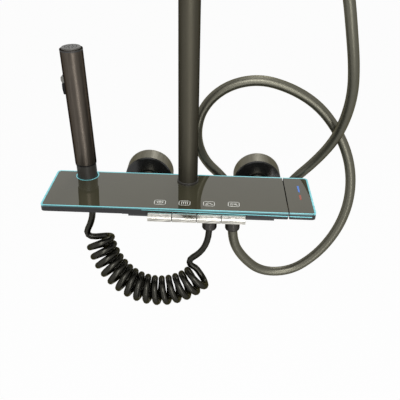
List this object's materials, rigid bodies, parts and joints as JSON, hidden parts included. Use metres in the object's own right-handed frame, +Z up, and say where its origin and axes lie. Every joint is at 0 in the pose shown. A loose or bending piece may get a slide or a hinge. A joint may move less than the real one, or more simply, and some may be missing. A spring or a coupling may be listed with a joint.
{
  "type": "shower mixer set",
  "caption": "Wall shower mixer with a lit glass shelf, piano keys, a turning temperature block, a riser, a spray wand on a curly hose and a hand shower on a smooth hose.",
  "frame": {"origin": "on the wall plane, midway between the two inlet axes", "axes": "+X to the right seen from the room, +Y into the wall, +Z up"},
  "size_m": [0.3924, 0.1674, 0.9534],
  "materials": {
    "brass": "cast and machined",
    "dark_coat": "dark coat over a brass casting",
    "steel": "plain steel",
    "gunmetal": "satin gunmetal coat",
    "dark_hose": "satin gunmetal sheath",
    "shelf_glass": "gloss glass, back painted",
    "charcoal": "satin",
    "light": "frosted, lit from below",
    "led": "flexible strip",
    "key_chrome": "bright plated",
    "black_gloss": "gloss",
    "rubber": "matt",
    "grey_plastic": "fine texture"
  },
  "bodies": {
    "mixer": {"aerator": "grey_plastic", "bath_outlet": "gunmetal", "cartridge_nut": "brass", "coil_hose": "black_gloss", "holder": "gunmetal", "holder_screw": "steel", "hose_nipples": "gunmetal", "inlet_unions": "gunmetal", "key_panel": "charcoal", "key_pin": "steel", "led_strip": "led", "light_guide": "light", "mixing_cartridge": "grey_plastic", "riser_base_ring": "gunmetal", "riser_coupling": "gunmetal", "riser_orings": "rubber", "riser_pipe": "gunmetal", "riser_spigot": "brass", "sealing_washers": "rubber", "shelf_screws": "steel", "shelf_tray": "charcoal", "shower_hose": "dark_hose", "socket_light": "light", "top_glass": "shelf_glass", "valve_body": "dark_coat", "valve_glands": "dark_coat", "valve_tail": "black_gloss", "wand_socket": "charcoal", "wand_tail": "black_gloss"},
    "temperature_block": {"knob_spindle": "brass", "knob_hub": "gunmetal", "knob_screw": "steel", "knob_tray": "charcoal", "knob_light_guide": "light", "knob_led_strip": "led", "knob_glass": "shelf_glass"},
    "spray_wand": {"wand_handle": "gunmetal", "wand_ferrule": "gunmetal", "wand_core": "grey_plastic", "wand_face": "grey_plastic", "wand_trigger_pin": "steel"},
    "trigger": {"wand_trigger": "grey_plastic"},
    "hand_shower": {"hose_cone": "gunmetal", "handset_body": "gunmetal", "handset_face": "grey_plastic"},
    "coil_union": {"coil_nut": "gunmetal"},
    "hose_union": {"hose_nut": "gunmetal"},
    "hot_union": {"inlet_nut_hot": "gunmetal"},
    "cold_union": {"inlet_nut_cold": "gunmetal"},
    "hot_flange": {"wall_flange_hot": "gunmetal"},
    "cold_flange": {"wall_flange_cold": "gunmetal"},
    "key_1": {"key_1": "key_chrome"},
    "stem_1": {"valve_stem_1": "steel"},
    "key_2": {"key_2": "key_chrome"},
    "stem_2": {"valve_stem_2": "steel"},
    "key_3": {"key_3": "key_chrome"},
    "stem_3": {"valve_stem_3": "steel"},
    "key_4": {"key_4": "key_chrome"},
    "stem_4": {"valve_stem_4": "steel"}
  },
  "joints": [
    {"name": "temperature_turn", "type": "hinge", "parent": "mixer", "child": "temperature_block", "pos_m": [0.12, -0.078, 0], "axis": [1, 0, 0], "range_deg": [-25, 25]},
    {"name": "wand_lift", "type": "slide", "parent": "mixer", "child": "spray_wand", "axis": [-0.0366, 0, 0.9993], "range_m": [0, 0.12], "deforming": ["wand_tail"]},
    {"name": "wand_trigger_squeeze", "type": "hinge", "parent": "spray_wand", "child": "trigger", "pos_m": [-0.16543, -0.0645, 0.15552], "axis": [0, -1, 0], "range_deg": [0, 5], "stiffness_Nm_per_rad": 1, "springref_deg": -5.73},
    {"name": "hand_shower_lift", "type": "slide", "parent": "mixer", "child": "hand_shower", "axis": [0, 0, 1], "range_m": [0, 0.1], "deforming": ["shower_hose"]},
    {"name": "coil_nut_turn", "type": "hinge", "parent": "mixer", "child": "coil_union", "pos_m": [0.0112, -0.077, -0.035], "axis": [0, 0, 1], "continuous": true},
    {"name": "hose_nut_turn", "type": "hinge", "parent": "mixer", "child": "hose_union", "pos_m": [0.0419, -0.077, -0.035], "axis": [0, 0, 1], "continuous": true},
    {"name": "hot_nut_turn", "type": "hinge", "parent": "mixer", "child": "hot_union", "pos_m": [-0.075, -0.038, 0], "axis": [0, 1, 0], "continuous": true},
    {"name": "hot_flange_slide", "type": "slide", "parent": "mixer", "child": "hot_flange", "axis": [0, -1, 0], "range_m": [0, 0.002]},
    {"name": "cold_nut_turn", "type": "hinge", "parent": "mixer", "child": "cold_union", "pos_m": [0.075, -0.038, 0], "axis": [0, 1, 0], "continuous": true},
    {"name": "cold_flange_slide", "type": "slide", "parent": "mixer", "child": "cold_flange", "axis": [0, -1, 0], "range_m": [0, 0.002]},
    {"name": "key_1_press", "type": "hinge", "parent": "mixer", "child": "key_1", "pos_m": [-0.048, -0.112, 0.0135], "axis": [1, 0, 0], "range_deg": [0, 9], "stiffness_Nm_per_rad": 1, "springref_deg": -5.73},
    {"name": "valve_1_push", "type": "slide", "parent": "mixer", "child": "stem_1", "axis": [0, 1, 0], "range_m": [0, 0.0027]},
    {"name": "key_2_press", "type": "hinge", "parent": "mixer", "child": "key_2", "pos_m": [-0.0188, -0.112, 0.0135], "axis": [1, 0, 0], "range_deg": [0, 9], "stiffness_Nm_per_rad": 1, "springref_deg": -5.73},
    {"name": "valve_2_push", "type": "slide", "parent": "mixer", "child": "stem_2", "axis": [0, 1, 0], "range_m": [0, 0.0027]},
    {"name": "key_3_press", "type": "hinge", "parent": "mixer", "child": "key_3", "pos_m": [0.0104, -0.112, 0.0135], "axis": [1, 0, 0], "range_deg": [0, 9], "stiffness_Nm_per_rad": 1, "springref_deg": -5.73},
    {"name": "valve_3_push", "type": "slide", "parent": "mixer", "child": "stem_3", "axis": [0, 1, 0], "range_m": [0, 0.0027]},
    {"name": "key_4_press", "type": "hinge", "parent": "mixer", "child": "key_4", "pos_m": [0.0396, -0.112, 0.0135], "axis": [1, 0, 0], "range_deg": [0, 9], "stiffness_Nm_per_rad": 1, "springref_deg": -5.73},
    {"name": "valve_4_push", "type": "slide", "parent": "mixer", "child": "stem_4", "axis": [0, 1, 0], "range_m": [0, 0.0027]}
  ],
  "couplings": [
    {"joint": "valve_1_push", "follows": "key_1_press", "m_per_rad": 0.0165},
    {"joint": "valve_2_push", "follows": "key_2_press", "m_per_rad": 0.0165},
    {"joint": "valve_3_push", "follows": "key_3_press", "m_per_rad": 0.0165},
    {"joint": "valve_4_push", "follows": "key_4_press", "m_per_rad": 0.0165}
  ]
}
